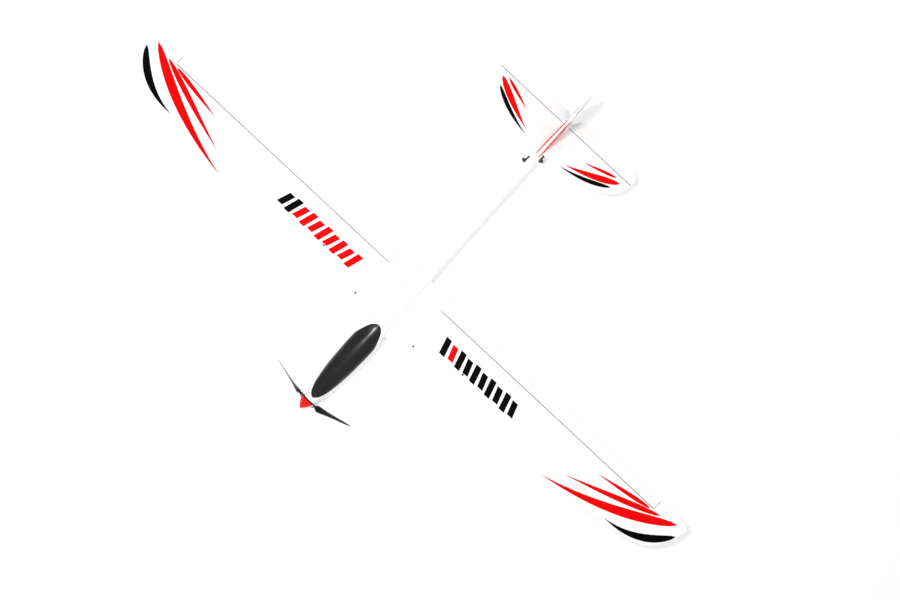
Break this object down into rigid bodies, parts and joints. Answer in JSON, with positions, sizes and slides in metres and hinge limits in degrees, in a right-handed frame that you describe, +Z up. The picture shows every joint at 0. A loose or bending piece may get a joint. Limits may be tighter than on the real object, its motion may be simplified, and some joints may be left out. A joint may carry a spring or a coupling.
{
  "type": "radio-controlled electric glider",
  "caption": "Radio-controlled electric glider with plug-in foam wings, a slim fuselage, a lift-off canopy, a folding propeller and a tail worked by servos and pushrods.",
  "frame": {"origin": "middle of the bounding box in plan, at the height of the flat of the belly", "axes": "+X towards the left wing tip, -Y towards the nose, +Z up"},
  "size_m": [1.998, 1.1768, 0.2726],
  "materials": {
    "foam": "white bead foam",
    "hull_plastic": "gloss white",
    "canopy_black": "satin black",
    "black_plastic": "matte black",
    "spinner_red": "gloss red",
    "steel": "bright",
    "aluminium": "machined",
    "carbon": "black carbon tube",
    "plywood": "bare plywood",
    "windings": "copper windings",
    "battery_wrap": "shrink wrap",
    "strap": "woven hook and loop",
    "receiver_case": "matte"
  },
  "bodies": {
    "airframe": {"fuselage_shell": "hull_plastic", "motor_mount": "black_plastic", "motor_stator": "windings", "motor_screw_1": "steel", "motor_screw_2": "steel", "motor_screw_3": "steel", "motor_screw_4": "steel", "speed_controller": "aluminium", "battery": "battery_wrap", "battery_strap": "strap", "receiver": "receiver_case", "equipment_tray": "plywood", "spar_joiner": "plywood", "spar_left": "carbon", "spar_right": "carbon", "front_pin_left": "carbon", "front_pin_right": "carbon", "wing_left": "foam", "wing_right": "foam", "spar_screw_left": "black_plastic", "spar_screw_right": "black_plastic", "front_pin_screw_left": "black_plastic", "front_pin_screw_right": "black_plastic", "stabilizer": "foam", "fin": "foam", "tail_screw_front": "steel", "tail_screw_rear": "steel", "elevator_servo": "black_plastic", "rudder_servo": "black_plastic", "aileron_servo_left": "black_plastic", "aileron_servo_right": "black_plastic", "deck_magnet": "steel"},
    "canopy": {"canopy": "canopy_black", "canopy_magnet": "steel"},
    "rotor": {"motor_bell": "aluminium", "motor_shaft": "steel", "prop_hub": "black_plastic", "prop_nut": "steel", "spinner": "spinner_red", "blade_pin_left": "steel", "blade_pin_right": "steel"},
    "blade_left": {"prop_blade_left": "black_plastic"},
    "blade_right": {"prop_blade_right": "black_plastic"},
    "elevator": {"elevator": "foam", "elevator_horn": "black_plastic"},
    "elevator_arm": {"elevator_servo_arm": "black_plastic"},
    "elevator_rod": {"elevator_pushrod": "steel"},
    "rudder": {"rudder": "foam", "rudder_horn": "black_plastic"},
    "rudder_arm": {"rudder_servo_arm": "black_plastic"},
    "rudder_rod": {"rudder_pushrod": "steel"},
    "aileron_left": {"aileron_left": "foam", "aileron_horn_left": "black_plastic"},
    "aileron_arm_left": {"aileron_servo_arm_left": "black_plastic"},
    "aileron_rod_left": {"aileron_pushrod_left": "steel"},
    "aileron_right": {"aileron_right": "foam", "aileron_horn_right": "black_plastic"},
    "aileron_arm_right": {"aileron_servo_arm_right": "black_plastic"},
    "aileron_rod_right": {"aileron_pushrod_right": "steel"}
  },
  "joints": [
    {"name": "canopy_lift", "type": "slide", "parent": "airframe", "child": "canopy", "axis": [0, 0, 1], "range_m": [0, 0.09]},
    {"name": "prop_spin", "type": "hinge", "parent": "airframe", "child": "rotor", "pos_m": [-0.00359, -0.55193, 0.04532], "axis": [-0.0436, -0.9977, -0.0523], "continuous": true},
    {"name": "blade_fold_left", "type": "hinge", "parent": "rotor", "child": "blade_left", "pos_m": [0.01691, -0.56382, 0.04475], "axis": [-0.0023, -0.0523, 0.9986], "range_deg": [-16, 30]},
    {"name": "blade_fold_right", "type": "hinge", "parent": "rotor", "child": "blade_right", "pos_m": [-0.02505, -0.56198, 0.04475], "axis": [0.0023, 0.0523, -0.9986], "range_deg": [-9.5, 36.5]},
    {"name": "aileron_left_hinge", "type": "hinge", "parent": "airframe", "child": "aileron_left", "pos_m": [0.4997, -0.1175, 0.09745], "axis": [0.9994, 0, 0.0349], "range_deg": [-25, 25]},
    {"name": "aileron_arm_left_turn", "type": "hinge", "parent": "airframe", "child": "aileron_arm_left", "pos_m": [0.46733, -0.194, 0.09582], "axis": [0.9994, 0, 0.0349], "range_deg": [-25, 25]},
    {"name": "aileron_rod_left_turn", "type": "hinge", "parent": "aileron_arm_left", "child": "aileron_rod_left", "pos_m": [0.47022, -0.194, 0.08191], "axis": [0.9994, 0, 0.0349], "range_deg": [-25, 25]},
    {"name": "aileron_right_hinge", "type": "hinge", "parent": "airframe", "child": "aileron_right", "pos_m": [-0.4997, -0.1175, 0.09745], "axis": [0.9994, 0, -0.0349], "range_deg": [-25, 25]},
    {"name": "aileron_arm_right_turn", "type": "hinge", "parent": "airframe", "child": "aileron_arm_right", "pos_m": [-0.46733, -0.194, 0.09582], "axis": [0.9994, 0, -0.0349], "range_deg": [-25, 25]},
    {"name": "aileron_rod_right_turn", "type": "hinge", "parent": "aileron_arm_right", "child": "aileron_rod_right", "pos_m": [-0.47022, -0.194, 0.08191], "axis": [0.9994, 0, -0.0349], "range_deg": [-25, 25]},
    {"name": "elevator_hinge", "type": "hinge", "parent": "airframe", "child": "elevator", "pos_m": [0, 0.495, 0.084], "axis": [1, 0, 0], "range_deg": [-25, 25]},
    {"name": "elevator_arm_turn", "type": "hinge", "parent": "airframe", "child": "elevator_arm", "pos_m": [0.0216, 0.375, 0.067], "axis": [1, 0, 0], "range_deg": [-25, 25]},
    {"name": "elevator_rod_turn", "type": "hinge", "parent": "elevator_arm", "child": "elevator_rod", "pos_m": [0.024, 0.375, 0.055], "axis": [1, 0, 0], "range_deg": [-25, 25]},
    {"name": "rudder_hinge", "type": "hinge", "parent": "airframe", "child": "rudder", "pos_m": [0, 0.486, 0.16], "axis": [0, 0, 1], "range_deg": [-22, 22]},
    {"name": "rudder_arm_turn", "type": "hinge", "parent": "airframe", "child": "rudder_arm", "pos_m": [-0.0216, 0.345, 0.067], "axis": [1, 0, 0], "range_deg": [-22, 22]},
    {"name": "rudder_rod_turn", "type": "hinge", "parent": "rudder_arm", "child": "rudder_rod", "pos_m": [-0.024, 0.345, 0.051], "axis": [1, 0, 0], "range_deg": [-22, 22]}
  ],
  "couplings": [
    {"joint": "aileron_arm_left_turn", "follows": "aileron_left_hinge", "ratio": 1},
    {"joint": "aileron_rod_left_turn", "follows": "aileron_left_hinge", "ratio": -1},
    {"joint": "aileron_right_hinge", "follows": "aileron_left_hinge", "ratio": -1},
    {"joint": "aileron_arm_right_turn", "follows": "aileron_left_hinge", "ratio": -1},
    {"joint": "aileron_rod_right_turn", "follows": "aileron_left_hinge", "ratio": 1},
    {"joint": "elevator_arm_turn", "follows": "elevator_hinge", "ratio": 1},
    {"joint": "elevator_rod_turn", "follows": "elevator_hinge", "ratio": -1},
    {"joint": "rudder_arm_turn", "follows": "rudder_hinge", "ratio": -1},
    {"joint": "rudder_rod_turn", "follows": "rudder_hinge", "ratio": 1}
  ]
}
